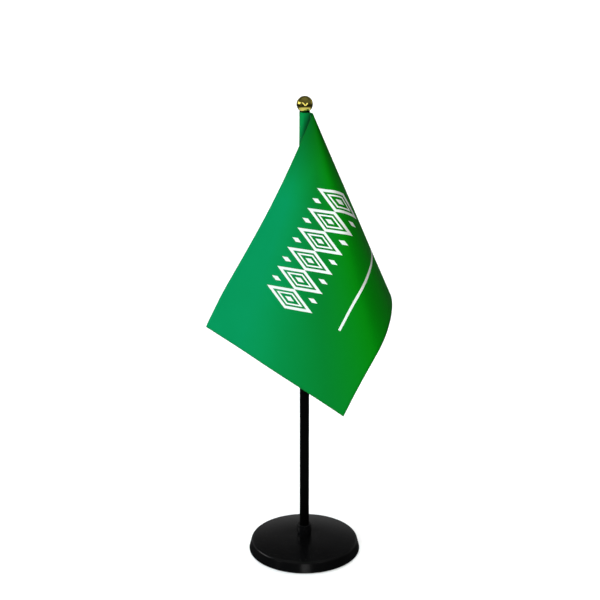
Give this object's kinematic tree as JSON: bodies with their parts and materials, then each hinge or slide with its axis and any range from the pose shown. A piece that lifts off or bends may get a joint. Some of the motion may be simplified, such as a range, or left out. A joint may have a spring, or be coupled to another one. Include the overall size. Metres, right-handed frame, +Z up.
{
  "type": "desk flag stand",
  "caption": "Weighted round base with a slim upright pole, a ball finial and a small rectangular flag that hangs from a sewn sleeve.",
  "frame": {"origin": "centre of the grip pad's underside, on the table", "axes": "+Z up along the pole, +X to the right, -Y towards the viewer"},
  "size_m": [0.1517, 0.1252, 0.4017],
  "materials": {
    "moulded_black": "moulded, fine matte",
    "zinc_steel": "zinc plated",
    "iron": "as cast",
    "gloss_black": "polished moulding",
    "satin_black": "satin",
    "gold_plate": "mirror gold plate",
    "rubber": "matte",
    "flag_cloth": "woven polyester, printed",
    "thread": "sewing thread"
  },
  "bodies": {
    "base": {"grip_pad": "rubber", "bottom_plate": "moulded_black", "plate_screws": "zinc_steel", "ballast_disc": "iron", "base_shell": "gloss_black", "pole_collar": "gloss_black", "collar_nut": "zinc_steel"},
    "pole": {"pole_tube": "satin_black"},
    "finial": {"finial_ball": "gold_plate"},
    "ring": {"stop_ring": "rubber"},
    "flag": {"flag_sleeve": "flag_cloth", "flag_panel": "flag_cloth", "sleeve_stitching": "thread"}
  },
  "joints": [
    {"name": "pole_lift", "type": "slide", "parent": "base", "child": "pole", "axis": [0, 0, 1], "range_m": [0, 0.03]},
    {"name": "finial_lift", "type": "slide", "parent": "pole", "child": "finial", "axis": [0, 0, 1], "range_m": [0, 0.02]},
    {"name": "ring_slide", "type": "slide", "parent": "pole", "child": "ring", "axis": [0, 0, -1], "range_m": [0, 0.12]},
    {"name": "flag_swivel", "type": "hinge", "parent": "ring", "child": "flag", "pos_m": [0, 0, 0.249], "axis": [0, 0, 1], "continuous": true}
  ]
}
